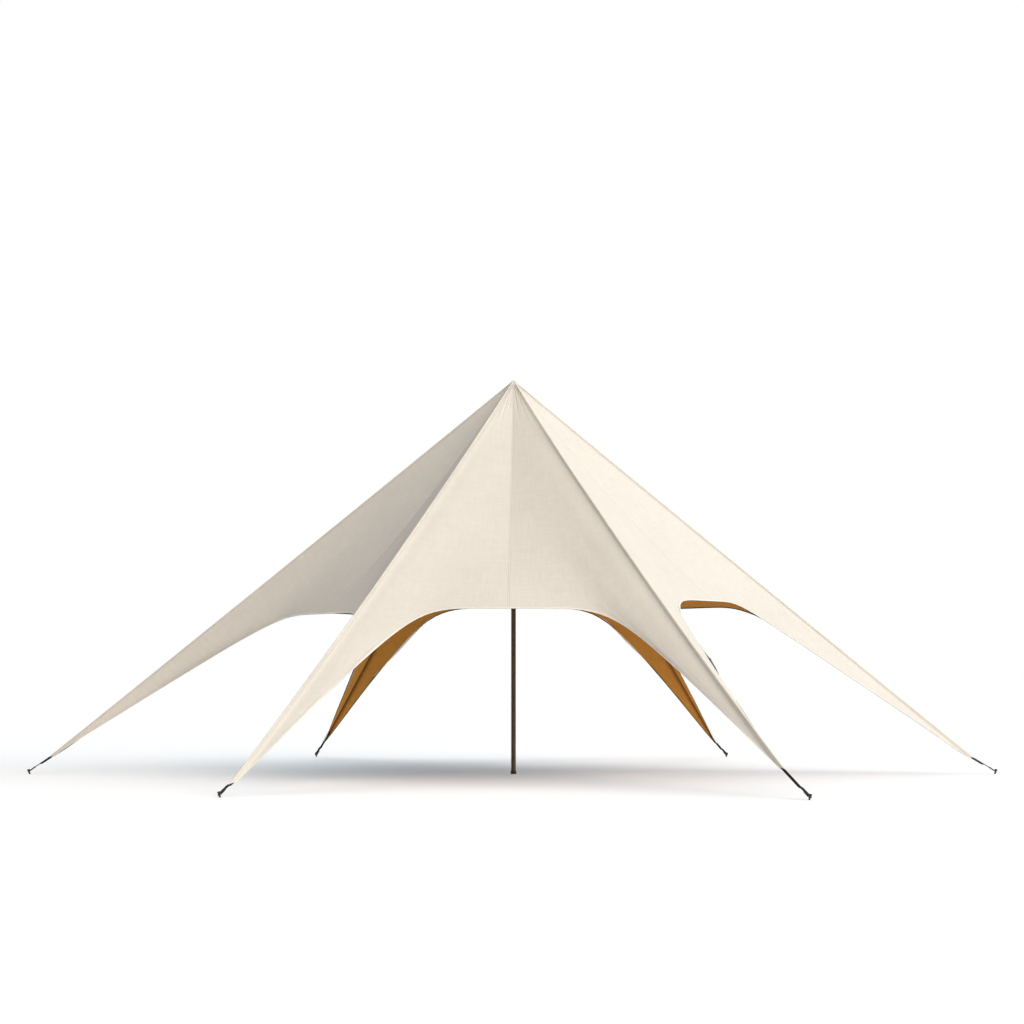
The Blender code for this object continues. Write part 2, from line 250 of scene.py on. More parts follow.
def smooth(low, high, value):
    """0 below low, 1 above high, and a soft S between them."""
    share = np.clip((np.asarray(value, dtype=float) - low) / (high - low), 0, 1)
    return share * share * (3 - 2 * share)


def waves(turns, phase):
    """The sine of a number of whole turns, shifted by a phase in radians."""
    return np.sin(2 * math.pi * turns + phase)


def bell(distance, width):
    """1 at no distance, falling as exp(-square) of the distance over the width."""
    return np.exp(-np.square(distance / width))


def circle(sides):
    """Unit vectors evenly round a circle, from angle 0."""
    turn = np.linspace(0, 2 * math.pi, sides, endpoint=False)
    return np.stack([np.cos(turn), np.sin(turn)], axis=1)


def raised(points, height):
    """The points, lifted straight up."""
    return points + np.multiply.outer(height, UP)


def line_from_peak(out, reach, height, sag, down):
    """From the eyelet's edge to the point at that reach and height.

    Straight, less a parabola that is sag deep at the middle.
    """
    slope = (PEAK_HEIGHT - height) / reach
    start = out * PEAK_HOLE + UP * (PEAK_HEIGHT - slope * PEAK_HOLE)
    down = np.asarray(down, dtype=float)
    points = start + np.multiply.outer(down, out * reach + UP * height - start)
    return raised(points, -4 * sag * down * (1 - down))


def ridge(arm, down):
    return line_from_peak(direction(arm["angle"]), arm["reach"], arm["tip"], arm["sag"], down)


def fold_width(down):
    """Half the fold over a ridge, seen from above: narrow at the eyelet, then constant."""
    return BAND_HALF_WIDTH * np.minimum(1.0, BAND_PEAK_SHARE + np.asarray(down) / BAND_FULL_AT)


def fold_drop(down):
    """How far the fold's sides come down, steeper towards the arm's tip."""
    slope = BAND_TOP_SLOPE + (BAND_TIP_SLOPE - BAND_TOP_SLOPE) * np.asarray(down) ** 3
    return fold_width(down) * slope


def fold(arm, down, place):
    """A point on the fold over a ridge: place is -1 and 1 on its edges and 0 on the ridge.

    Sideways it is a straight share of the width, downwards the square of place, so the top is round.
    """
    beside = sideways(direction(arm["angle"]))
    points = ridge(arm, down) + np.multiply.outer(place * fold_width(down), beside)
    return raised(points, -np.square(place) * fold_drop(down))


def fold_strip(arm, down, places, lift, steepest=math.inf):
    """The fold as a grid, lifted by the hypotenuse of 1 and its slope sideways, up to a limit.

    That keeps the gap square to the fold the same where it is steep.
    """
    strip = np.stack([fold(arm, down, place) for place in places], axis=1)
    steep = np.hypot(1, 2 * np.abs(places)[None] * (fold_drop(down) / fold_width(down))[:, None])
    return raised(strip, lift * np.minimum(steep, steepest))


def middle(bay):
    first, second = [ARMS[name]["angle"] for name in bay["arms"]]
    return direction((first + second + (360 if second < first else 0)) / 2)


def arch(share, rounding):
    """Sixth-power hyperbola from 0 at the arch's crown to 1 at the arm's tip."""
    start = rounding ** HEM_POWER
    rise = (start + share ** HEM_POWER) ** (1 / HEM_POWER) - rounding
    return rise / ((start + 1) ** (1 / HEM_POWER) - rounding)


def gore(bay, half, across, down):
    """The taut cloth of half a bay, before any slack.

    Sideways it runs evenly from the middle seam to the ridge. Outwards and downwards it follows a
    straight crease near the peak and the arch near the hem, blended by a power of down.
    """
    arm = ARMS[bay["arms"][half]]
    out = middle(bay)
    seam = line_from_peak(out, bay["radius"], bay["height"], VALLEY_SAG, down)
    offset = fold(arm, down, 1.0 - 2.0 * half) - seam
    beside = sideways(out)
    sidestep = np.multiply.outer(offset @ beside, beside)
    fade = down ** CREASE_FADE
    bend = (1 - fade) * across + fade * arch(across, bay["rounding"][half])
    return seam + sidestep * across[..., None] + (offset - sidestep) * bend[..., None]


def gore_size(bay, half, down):
    """Width of a row of half a bay, from the seam to the fold."""
    zero = np.zeros_like(down)
    return np.linalg.norm(gore(bay, half, zero + 1, down) - gore(bay, half, zero, down), axis=-1)


def slack(number, half, across, down, width):
    """How far the cloth stands off its taut shape, in metres. Each fades out at the seam and the ridge.

    Shoulder: r * exp(1 - r) of the distance r from the ridge. Pleats: bells at fixed shares of the
    width, just below the peak. Folds: products and sums of slow waves. Gathers: short waves in a
    bell beside the seam. Pull lines: slanting waves above the hem.
    """
    sizes = bpy.context.scene.star_tent
    from_ridge = (1 - across) * width / SHOULDER_REACH
    grip = smooth(0.03, 0.20, down) * smooth(0.20, 0.90, width) * smooth(0.0, 0.4, across)
    height = -sizes.shoulder_depth * from_ridge * np.exp(1 - from_ridge) * grip
    near_peak = smooth(0.004, 0.03, down) * (1 - smooth(0.05, 0.17, down))
    turn = number * 2 + half
    for i, place in enumerate(PLEAT_PLACES):
        shift = place + 0.025 * math.sin(5.1 * i + 2.3 * turn)
        depth = sizes.pleat_depth * (0.6 + 0.4 * math.sin(3.7 * i + 1.9 * turn))
        height = height - depth * near_peak * bell(across - shift, PLEAT_WIDTH)
    folds = waves(2.2 * across + 1.3 * down, turn) * waves(2.6 * down, 2.1 * turn)
    folds = folds + 0.5 * waves(3.1 * across - 2.4 * down, 1.7 * turn)
    height = height + sizes.slack_depth * folds * smooth(0.15, 0.6, down) * np.sin(math.pi * across)
    gathers = waves(GATHER_COUNT * down, turn) * bell(across * width - GATHER_PLACE, GATHER_WIDTH)
    height = height + GATHER_HEIGHT * gathers * smooth(0.2, 0.5, down)
    pull = waves(9 * down - 4.5 * across, turn) * smooth(0.80, 0.97, down)
    pull = pull * smooth(0.25, 0.5, across) * (1 - smooth(0.75, 1.0, across))
    height = height + DRAG_HEIGHT * pull
    return height * smooth(0.0, 0.04, across) * smooth(0.0, 0.012, 1 - across)


def cloth(bay_name, half, across, down):
    """The finished surface of half a bay: the taut shape, moved along its own normal by the slack.

    The normal is the cross product of small steps across and down, turned to point outwards.
    """
    bay = BAYS[bay_name]
    across, down = np.broadcast_arrays(np.asarray(across, float), np.asarray(down, float))
    step = 1e-3

    def stepped(value):
        return np.minimum(value + step, 1), np.maximum(value - step, 0)

    right, left = [gore(bay, half, place, down) for place in stepped(across)]
    lower, upper = [gore(bay, half, across, place) for place in stepped(down)]
    normal = unit(np.cross(right - left, lower - upper) * (1.0 - 2.0 * half))
    height = slack(list(BAYS).index(bay_name), half, across, down, gore_size(bay, half, down))
    return gore(bay, half, across, down) + normal * height[..., None]


def down_steps(count=ROWS, first=0.0):
    return first + (1.0 - first) * np.linspace(0, 1, count + 1) ** ROW_CROWDING


def half_grid(bay_name, half, down):
    """Columns of half a bay from the seam to the ridge line, with the round of the fold at the end.

    The columns stand closer together at the seam and at the ridge.
    """
    even = np.linspace(0, 1, HALF_COLUMNS + 1)
    across = 0.25 * even + 0.75 * smooth(0, 1, even)
    grid = cloth(bay_name, half, across[None, :], down[:, None])
    arm = ARMS[BAYS[bay_name]["arms"][half]]
    places = (1.0 - 2.0 * half) * (1 - np.arange(1, ROLL_COLUMNS + 1) / ROLL_COLUMNS)
    roll = [fold(arm, down, place) for place in places]
    return np.concatenate([grid, np.stack(roll, axis=1)], axis=1)


def bay_grid(bay_name, down):
    """The whole bay from its left ridge to its right one."""
    left, right = [half_grid(bay_name, half, down) for half in (0, 1)]
    return np.concatenate([left[:, :0:-1], right], axis=1)


def lengths(grid, axis):
    """Running length along one axis of a grid, from its first point."""
    steps = np.linalg.norm(np.diff(grid, axis=axis), axis=-1)
    start = np.zeros_like(np.take(steps, [0], axis=axis))
    return np.concatenate([start, np.cumsum(steps, axis=axis)], axis=axis)


def flat_map(across, along):
    """A map of metres across and metres along, one pair for each point of a grid."""
    return np.stack(np.broadcast_arrays(across, along), axis=-1)


def carried(path, beside, above, profile):
    """A profile of (sideways, up) pairs carried along a path, each scaled by its own directions."""
    beside, above = [np.broadcast_to(part, path.shape)[:, None] for part in (beside, above)]
    profile = np.broadcast_to(profile, (len(path), *profile.shape[-2:]))
    return path[:, None] + profile[..., 0:1] * beside + profile[..., 1:2] * above


def turned(profile, sides, tilt=0.0, out=np.array([1.0, 0, 0]), foot=np.zeros(3)):
    """Rings of a turned piece from (radius, height) pairs, its axis leaning outwards by tilt radians.

    A ring at height 0 is cut level with the ground: each point slides along the axis to z = 0.
    """
    profile = np.array(profile)
    axis = out * math.sin(tilt) + UP * math.cos(tilt)
    level = out * math.cos(tilt) - UP * math.sin(tilt)
    rim = circle(sides) @ np.stack([level, sideways(out)])
    grid = foot + profile[:, None, 1:2] * axis + profile[:, None, 0:1] * rim[None]
    cut = profile[:, 1] == 0
    grid[cut] -= grid[cut][..., 2:3] / axis[2] * axis
    return grid


def rounded_loop(length, half_width, front_radius, corner, steps=12):
    """A closed loop in its own plane: a round end at the origin and a straight bar behind it."""
    turn = np.radians(np.linspace(-90, 90, 2 * steps + 1))
    parts = [np.stack([front_radius * (np.cos(turn) - 1), half_width * np.sin(turn)], axis=1)]
    for first, side in ((90, 1), (180, -1)):
        turn = np.radians(np.linspace(first, first + 90, steps // 2 + 1))
        centre = np.array([corner - length, (half_width - corner) * side])
        parts.append(centre + corner * np.stack([np.cos(turn), np.sin(turn)], axis=1))
    return np.concatenate(parts)


def resampled(points, count, closed=False):
    """The same line with evenly spaced points."""
    if closed:
        points = np.concatenate([points, points[:1]])
    run = lengths(points, 0)
    places = np.linspace(0, run[-1], count, endpoint=not closed)
    return np.stack([np.interp(places, run, points[:, i]) for i in range(points.shape[1])], axis=1)


def bar_loop(loop, centre, along, beside, above, radius, sides=16):
    """A round bar carried along a closed loop that lies in the plane of along and beside."""
    step = unit(np.roll(loop, -1, axis=0) - np.roll(loop, 1, axis=0))
    square = np.stack([step[:, 1], -step[:, 0]], axis=1)
    rim = radius * circle(sides)
    flat = loop[:, None] + rim[None, :, 0:1] * square[:, None]
    return centre + flat[..., 0:1] * along + flat[..., 1:2] * beside + rim[None, :, 1:2] * above


def pull_line(arm):
    """The taut line from the cloth's tip to the ring's far end, as in the frame.

    Gives its far end, the directions along, beside and above it, and its length.
    """
    off_peg = (RING_BAR + RING_OFF_PEG) * math.hypot(1, PEG_LEAN)
    reach = arm["peg"] + PEG_LEAN * RING_HEIGHT + PEG_RADIUS + off_peg
    run = reach - arm["reach"]
    fall = arm["tip"] - STRAP_BELOW_TIP - RING_HEIGHT
    slope = math.atan2(fall, run)
    out = direction(arm["angle"])
    along = out * math.cos(slope) - UP * math.sin(slope)
    above = out * math.sin(slope) + UP * math.cos(slope)
    return out * reach + UP * RING_HEIGHT, along, sideways(out), above, math.hypot(run, fall)


# Meshes

def grid_faces(rows, columns, closed_rows=False, closed_columns=False):
    """Quads of a grid, as arrays of point numbers that run anticlockwise seen from outside."""
    row = np.arange(rows if closed_rows else rows - 1)
    column = np.arange(columns if closed_columns else columns - 1)
    row, column = [part.ravel() for part in np.meshgrid(row, column, indexing="ij")]
    below, right = (row + 1) % rows, (column + 1) % columns
    corners = ((row, column), (below, column), (below, right), (row, right))
    return np.stack([line * columns + place for line, place in corners], axis=1)


def make_piece(name, parts, *finishes, replaces=(), shade_angle=40, thickness=0.0, uv=None, edges=None):
    """One object from several grids, each given with the way that it closes.

    uv places the cloth's own metres, and edges the distances from the ridge and from the hem.
    """
    points, faces = [], []
    start = 0
    for grid, (closed_rows, closed_columns, capped) in parts:
        rows, columns = grid.shape[:2]
        points.append(grid.reshape(-1, 3))
        faces += (grid_faces(rows, columns, closed_rows, closed_columns) + start).tolist()
        if capped:
            rim = np.arange(columns) + start
            faces += [rim.tolist(), (rim[::-1] + (rows - 1) * columns).tolist()]
        start += rows * columns
    mesh = bpy.data.meshes.new(name)
    mesh.from_pydata(np.concatenate(points), [], faces)
    corners = np.empty(len(mesh.loops), dtype=np.int32)
    mesh.loops.foreach_get("vertex_index", corners)
    for label, places in (("cloth", uv), ("edges", edges)):
        if places is not None:
            mesh.uv_layers.new(name=label).data.foreach_set("uv", places.reshape(-1, 2)[corners].ravel())
    mesh.shade_smooth()
    mesh.set_sharp_from_angle(angle=math.radians(shade_angle))
    for finish in finishes:
        mesh.materials.append(finish_named(finish))
    mesh.validate()
    item = bpy.data.objects.new(name, mesh)
    bpy.context.scene.collection.objects.link(item)
    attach(item, BODY)
    if parts[0][1] != SHEET:
        turn_outwards(mesh)
    if thickness:
        thicken(item, thickness, len(finishes) - 1)
    if replaces:
        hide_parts(*replaces)
    return item


def turn_outwards(mesh):
    """Recalculates a closed piece's normals, because a path's turning sense differs by arm."""
    shell = bmesh.new()
    shell.from_mesh(mesh)
    bmesh.ops.remove_doubles(shell, verts=shell.verts, dist=1e-6)
    bmesh.ops.recalc_face_normals(shell, faces=shell.faces)
    shell.to_mesh(mesh)
    shell.free()


def thicken(item, thickness, inner_material):
    """Gives a surface its thickness, inwards from the side that shows."""
    solid = item.modifiers.new("thickness", "SOLIDIFY")
    solid.thickness = thickness
    solid.offset = -1
    solid.use_even_offset = False
    solid.material_offset = inner_material
    solid.material_offset_rim = 0


# Node helpers

def put(tree, kind, values=None, **settings):
    """A node with its settings, and its inputs either linked to a socket or set to a value."""
    node = tree.nodes.new(kind)
    for key, value in settings.items():
        setattr(node, key, value)
    for key, value in (values or {}).items():
        if isinstance(value, bpy.types.NodeSocket):
            tree.links.new(value, node.inputs[key])
        else:
            node.inputs[key].default_value = value
    return node


def maths(tree, operation, *values):
    return put(tree, "ShaderNodeMath", dict(enumerate(values)), operation=operation).outputs[0]


def times(tree, value, factor):
    return maths(tree, "MULTIPLY", value, factor)


def ramp(tree, value, low, high, out_low=0.0, out_high=1.0, soft=False):
    """The value carried from one range to another, clamped."""
    values = {0: value, 1: low, 2: high, 3: out_low, 4: out_high}
    kind = "SMOOTHSTEP" if soft else "LINEAR"
    return put(tree, "ShaderNodeMapRange", values, clamp=True, interpolation_type=kind).outputs[0]


def mixed(tree, share, first, second, blend="MIX"):
    """Two colours mixed by a share; a share socket or number, and colours as sockets or tuples."""
    values = {0: share, 6: first, 7: second}
    return put(tree, "ShaderNodeMix", values, data_type="RGBA", blend_type=blend).outputs[2]


def overlaid(tree, base, mask, most, colour):
    """The base with another colour over it wherever the mask is, up to a share of most."""
    return mixed(tree, times(tree, mask, most), base, colour)


def toned(tree, base, tone):
    """The base multiplied by a tone, the same in all three colours."""
    grey = put(tree, "ShaderNodeCombineColor", {0: tone, 1: tone, 2: tone}).outputs[0]
    return mixed(tree, 1.0, base, grey, "MULTIPLY")


def noise(tree, vector, scale, detail=3.0, roughness=0.5):
    values = {"Vector": vector, "Scale": scale, "Detail": detail, "Roughness": roughness}
    return put(tree, "ShaderNodeTexNoise", values).outputs[0]


def scaled(tree, vector, factors):
    return put(tree, "ShaderNodeVectorMath", {0: vector, 1: factors}, operation="MULTIPLY").outputs[0]


def split(tree, vector):
    return put(tree, "ShaderNodeSeparateXYZ", {0: vector}).outputs


def new_group(name, inputs, outputs):
    """An empty node group: inputs by name with their defaults, None for a vector, and output names."""
    tree = bpy.data.node_groups.new(name, "ShaderNodeTree")
    for label, default in inputs.items():
        kind = "NodeSocketVector" if default is None else "NodeSocketFloat"
        socket = tree.interface.new_socket(label, in_out="INPUT", socket_type=kind)
        if default is not None:
            socket.default_value = default
    for label in outputs:
        tree.interface.new_socket(label, in_out="OUTPUT", socket_type="NodeSocketFloat")
    return tree, tree.nodes.new("NodeGroupInput").outputs, tree.nodes.new("NodeGroupOutput").inputs


def use_group(tree, name, **values):
    return put(tree, "ShaderNodeGroup", values, node_tree=bpy.data.node_groups[name]).outputs


def make_weave_group():
    """Plain weave: over and under as a product of two sines, with thick and thin threads."""
    inputs = {"Vector": None, "Threads": 600.0, "Slub": 0.5}
    tree, given, out = new_group("woven threads", inputs, ("Height", "Shade"))
    place = split(tree, given["Vector"])
    angles = [times(tree, place[axis], times(tree, given["Threads"], math.pi)) for axis in (0, 1)]
    crossing = times(tree, *[maths(tree, "SINE", angle) for angle in angles])
    threads = [
        noise(tree, scaled(tree, given["Vector"], stretch), 1.0, 2.0)
        for stretch in ((160.0, 3.0, 1.0), (3.0, 160.0, 1.0))]
    thick = times(tree, maths(tree, "ADD", *threads), 0.5)
    slub = times(tree, maths(tree, "SUBTRACT", thick, 0.5), given["Slub"])
    over = maths(tree, "MULTIPLY_ADD", crossing, 0.3, 0.5)
    tree.links.new(maths(tree, "ADD", over, slub), out["Height"])
    tree.links.new(maths(tree, "ADD", slub, 0.5), out["Shade"])


def make_stitch_group():
    """A row of stitches: dashes along a line at a set place across, with a dimple under each. The dimple's
    mask also places painted shade.
    """
    inputs = {"Across": 0.0, "Along": 0.0, "Row": 0.01, "Pitch": 0.008, "Thickness": 0.0015}
    tree, given, out = new_group("stitch row", inputs, ("Thread", "Dimple"))
    off = maths(tree, "ABSOLUTE", maths(tree, "SUBTRACT", given["Across"], given["Row"]))
    share = maths(tree, "DIVIDE", off, given["Thickness"])
    line = ramp(tree, share, 0.6, 1.0, 1.0, 0.0, soft=True)
    beat = maths(tree, "FRACT", maths(tree, "DIVIDE", given["Along"], given["Pitch"]))
    dash = ramp(tree, maths(tree, "ABSOLUTE", maths(tree, "SUBTRACT", beat, 0.5)), 0.30, 0.38, 1.0, 0.0)
    tree.links.new(times(tree, line, dash), out["Thread"])
    tree.links.new(ramp(tree, share, 0.5, 2.4, 1.0, 0.0, soft=True), out["Dimple"])


def make_weathering_group():
    """Uneven tone of used goods: broad clouds, small mottle, and dust that gathers near the ground."""
    inputs = {"Vector": None, "Broad": 0.7, "Fine": 9.0}
    tree, given, out = new_group("weathering", inputs, ("Tone", "Dust"))
    broad = noise(tree, given["Vector"], given["Broad"], 3.0, 0.55)
    fine = noise(tree, given["Vector"], given["Fine"], 4.0, 0.6)
    low = ramp(tree, split(tree, given["Vector"])[2], 0.0, 0.35, 1.0, 0.0, soft=True)
    tree.links.new(maths(tree, "ADD", times(tree, broad, 0.6), times(tree, fine, 0.4)), out["Tone"])
    tree.links.new(times(tree, low, ramp(tree, fine, 0.35, 0.7)), out["Dust"])


# Finishes

def shade_of(colour, factor):
    return (*[part * factor for part in colour], 1.0)


def shades_of(colour, *factors):
    return [shade_of(colour, factor) for factor in factors]


def new_finish(name, shades, clouds, roughness, specular, metallic=0.0, span=(0.35, 0.65)):
    """A material whose base colour is mottled between two shades.

    clouds are the scales of the broad and the fine mottle, and span the part of it that shows.
    """
    material = bpy.data.materials.new(name)
    material.use_nodes = True
    tree = material.node_tree
    shader = tree.nodes["Principled BSDF"]
    values = {"Roughness": roughness, "Metallic": metallic, "Specular IOR Level": specular}
    for key, value in values.items():
        shader.inputs[key].default_value = value
    spots = put(tree, "ShaderNodeTexCoord").outputs
    weather = use_group(tree, "weathering", Vector=spots["Object"], Broad=clouds[0], Fine=clouds[1])
    base = mixed(tree, ramp(tree, weather["Tone"], *span), *shades)
    return tree, shader, spots, weather, base


def place_on_strip(tree, spots):
    """Metres from the middle of a strip or seam, and metres along it, from the piece's own map."""
    place = split(tree, spots["UV"])
    return {"Across": maths(tree, "ABSOLUTE", place[0]), "Along": place[1]}


def finish_surface(tree, shader, colour, height, strength, distance):
    """Links a colour and a bump height to the shader."""
    tree.links.new(colour, shader.inputs["Base Color"])
    bump = put(tree, "ShaderNodeBump", {"Strength": strength, "Distance": distance, "Height": height})
    tree.links.new(bump.outputs["Normal"], shader.inputs["Normal"])


def make_canvas(name, colour, tones, ridge_shade_tone):
    """Cotton canvas: weave, mottled tone, a little dust low down, a double row of seam stitches, painted
    shade beside the ridges and in the stitch dimples, and a painted highlight on the seam's lap.
    """
    shades = shades_of(colour, *tones)
    tree, shader, spots, weather, base = new_finish(name, shades, (0.8, 11.0), 0.88, 0.15)
    woven = use_group(tree, "woven threads", Vector=spots["UV"], Threads=CANVAS_THREADS, Slub=0.9)
    base = toned(tree, base, ramp(tree, woven["Shade"], 0.3, 0.7, 0.93, 1.04))
    for stretch in ((55.0, 2.5, 1.0), (2.5, 55.0, 1.0)):
        slub = noise(tree, scaled(tree, spots["UV"], stretch), 1.0, 4.0, 0.6)
        base = toned(tree, base, ramp(tree, slub, 0.3, 0.7, 0.965, 1.022))
    from_ridge = split(tree, put(tree, "ShaderNodeUVMap", uv_map="edges").outputs[0])[0]
    # Painted shade: the cloth darkens towards the ridge strip, within 0.12 m of it.
    base = toned(tree, base, ramp(tree, from_ridge, 0.05, 0.12, ridge_shade_tone, 1.0, soft=True))
    base = overlaid(tree, base, weather["Dust"], 0.25, CANVAS_DUST)
    place = place_on_strip(tree, spots)
    row = use_group(tree, "stitch row", **place, **SEAM_STITCHES)
    lap_and_highlight = ramp(tree, place["Across"], 0.0125, 0.0145, 1.0, 0.0)
    # Painted highlight: the seam's lap is made lighter than the cloth around it; the same mask also raises
    # the lap.
    base = overlaid(tree, base, lap_and_highlight, 0.50, shade_of(colour, 1.12))
    # Painted shade in the stitch dimples beside the seam.
    base = overlaid(tree, base, row["Dimple"], 0.30, shade_of(colour, 0.75))
    base = overlaid(tree, base, row["Thread"], 0.85, shade_of(colour, 0.30))
    height = maths(tree, "ADD", times(tree, woven["Height"], 0.35), lap_and_highlight)
    height = maths(tree, "SUBTRACT", height, times(tree, row["Dimple"], 0.5))
    finish_surface(tree, shader, base, height, 0.6, 0.0011)


def make_edging(name, colour, row_place, thread_tone=0.36, pitch=0.012, thickness=0.0018):
    """The canvas strips of ridges, hems and peak: closer weave and a stitch row along each edge, with painted
    shade in the stitch dimples.

    The strip's own map gives metres from its middle and metres along it.
    """
    shades = shades_of(colour, 0.86, 1.05)
    tree, shader, spots, weather, base = new_finish(name, shades, (1.1, 14.0), 0.85, 0.15)
    woven = use_group(tree, "woven threads", Vector=spots["UV"], Threads=STRIP_THREADS, Slub=0.6)
    base = overlaid(tree, base, weather["Dust"], 0.35, STRIP_DUST)
    place = place_on_strip(tree, spots)
    row = use_group(tree, "stitch row", **place, Row=row_place, Pitch=pitch, Thickness=thickness)
    # Painted shade in the stitch dimples.
    base = overlaid(tree, base, row["Dimple"], 0.30, shade_of(colour, thread_tone + 0.24))
    base = overlaid(tree, base, row["Thread"], 0.75, shade_of(colour, thread_tone))
    height = times(tree, woven["Height"], 0.3)
    height = maths(tree, "SUBTRACT", height, times(tree, row["Dimple"], 0.8))
    finish_surface(tree, shader, base, height, 0.6, 0.0012)


def make_webbing(name, colour):
    """Black woven webbing: paler high threads, a stitch row along each edge, mottle and low dust."""
    tree, shader, spots, weather, base = new_finish(
        name, shades_of(colour, 0.7, 1.8), (6.0, 60.0), 0.72, 0.2, span=(0.4, 0.62))
    woven = use_group(tree, "woven threads", Vector=spots["UV"], Threads=WEBBING_THREADS, Slub=0.4)
    row = use_group(tree, "stitch row", **place_on_strip(tree, spots), **WEBBING_STITCHES)
    ribs = ramp(tree, woven["Height"], 0.5, 0.9, 0.0, 0.35)
    base = mixed(tree, ribs, base, shade_of(colour, 2.6))
    base = overlaid(tree, base, row["Thread"], 0.5, shade_of(colour, 4.0))
    base = overlaid(tree, base, weather["Dust"], 0.18, WEBBING_DUST)
    height = maths(tree, "SUBTRACT", woven["Height"], times(tree, row["Dimple"], 0.4))
    finish_surface(tree, shader, base, height, 0.8, 0.0006)


def make_coated(name, colour, bare, roughness, metallic, grain, wear):
    """A hard coated finish: fine orange peel, rubbed spots that show through, and dust low down."""
    tree, shader, spots, weather, base = new_finish(
        name, shades_of(colour, 0.8, 1.25), (14.0, grain), roughness, 0.3, metallic, (0.38, 0.62))
    rubbed = ramp(tree, noise(tree, spots["Object"], 55.0, 5.0, 0.7), 0.58, 0.72, 0.0, wear, soft=True)
    base = mixed(tree, rubbed, base, shade_of(bare, 1.0))
    base = overlaid(tree, base, weather["Dust"], 0.2, METAL_DUST)
    gloss = ramp(tree, weather["Tone"], 0.35, 0.65, roughness - 0.07, roughness + 0.10)
    tree.links.new(gloss, shader.inputs["Roughness"])
    finish_surface(tree, shader, base, weather["Tone"], 0.25, 0.0006)


def make_finishes():
    """All finishes, by the plain names that the operators ask for."""
    sizes = bpy.context.scene.star_tent
    make_weave_group()
    make_stitch_group()
    make_weathering_group()
    # The last number of each canvas sets how deep its painted shade beside the ridges is.
    make_canvas("canvas outside", sizes.canvas_colour, (0.965, 1.025), 0.89)
    make_canvas("canvas underside", sizes.underside_colour, (0.90, 1.08), 0.78)
    make_edging("ridge canvas", sizes.ridge_colour, BAND_HALF_WIDTH + 0.008, pitch=0.028, thickness=0.0034)
    make_edging("hem canvas", sizes.hem_colour, BINDING_WIDTH - 0.005, thread_tone=0.68)
    make_edging("peak canvas", sizes.peak_colour, 0.010)
    make_edging("inner tape", sizes.inner_tape_colour, 0.007)
    make_webbing("black webbing weave", sizes.webbing_colour)
    make_coated("bronze pole paint", sizes.pole_colour, (0.20, 0.16, 0.11), 0.42, 0.35, 120.0, 0.10)
    make_coated("moulded rubber", (0.017, 0.017, 0.017), (0.06, 0.058, 0.055), 0.78, 0.0, 160.0, 0.30)
    make_coated("black coated steel", (0.007, 0.007, 0.0075), (0.07, 0.067, 0.063), 0.50, 0.0, 150.0, 0.25)


def finish_named(name):
    if name not in bpy.data.materials:
        make_finishes()
    return bpy.data.materials[name]


# User settings

class StarTentSizes(bpy.types.PropertyGroup):
    """Sizes and colours of the finish; the frame's own dimensions stay with the frame."""

    cloth_thickness: bpy.props.FloatProperty(
        name="Cloth thickness", description="Thickness of the canvas", default=0.0016, min=0.0004, max=0.006,
        unit="LENGTH", precision=4)
    strip_thickness: bpy.props.FloatProperty(
        name="Strip thickness", description="Thickness of the sewn strips on ridges, hems and peak",
        default=0.0012, min=0.0004, max=0.004, unit="LENGTH", precision=4)
    shoulder_depth: bpy.props.FloatProperty(
        name="Shoulder depth", description="How far the cloth dips beside a ridge", default=0.013, min=0.0,
        max=0.05, unit="LENGTH", precision=4)
    pleat_depth: bpy.props.FloatProperty(
        name="Pleat depth", description="Depth of the pleats below the peak", default=0.008, min=0.0,
        max=0.02, unit="LENGTH", precision=4)
    slack_depth: bpy.props.FloatProperty(
        name="Slack depth", description="Height of the soft folds in the bays", default=0.0016, min=0.0,
        max=0.03, unit="LENGTH", precision=4)
    canvas_colour: bpy.props.FloatVectorProperty(
        name="Canvas", description="Outer side of the canvas", subtype="COLOR", size=3, min=0, max=1,
        default=(0.68, 0.625, 0.5525))
    underside_colour: bpy.props.FloatVectorProperty(
        name="Underside", description="Inner side of the canvas", subtype="COLOR", size=3, min=0, max=1,
        default=(0.52, 0.222, 0.036))
    ridge_colour: bpy.props.FloatVectorProperty(
        name="Ridge strips", description="Strips sewn over the ridges", subtype="COLOR", size=3, min=0, max=1,
        default=(0.72, 0.655, 0.56))
    hem_colour: bpy.props.FloatVectorProperty(
        name="Hem binding", description="Binding along the hems", subtype="COLOR", size=3, min=0, max=1,
        default=(0.80, 0.74, 0.655))
    peak_colour: bpy.props.FloatVectorProperty(
        name="Peak patch", description="Patch round the peak", subtype="COLOR", size=3, min=0, max=1,
        default=(0.68, 0.625, 0.55))
    inner_tape_colour: bpy.props.FloatVectorProperty(
        name="Inner tape", description="Tape under the ridges", subtype="COLOR", size=3, min=0, max=1,
        default=(0.20, 0.085, 0.022))
    webbing_colour: bpy.props.FloatVectorProperty(
        name="Webbing", description="Straps and tapes", subtype="COLOR", size=3, min=0, max=1,
        default=(0.008, 0.008, 0.008))
    pole_colour: bpy.props.FloatVectorProperty(
        name="Pole", description="Paint of the mast", subtype="COLOR", size=3, min=0, max=1,
        default=(0.078, 0.055, 0.030))


class StarTentStudio(bpy.types.PropertyGroup):
    """Light and floor of the pale studio."""

    light_strength: bpy.props.FloatProperty(
        name="Lights", description="Strength of all lights together", default=1.0, min=0.0)
    sky_strength: bpy.props.FloatProperty(
        name="Ambient light", description="Strength of the even light from all round", default=0.15, min=0.0)
    floor_glow: bpy.props.FloatProperty(
        name="Floor lift", description="Even light added to the floor so that shadows stay pale",
        default=0.20, min=0.0)


# Pieces

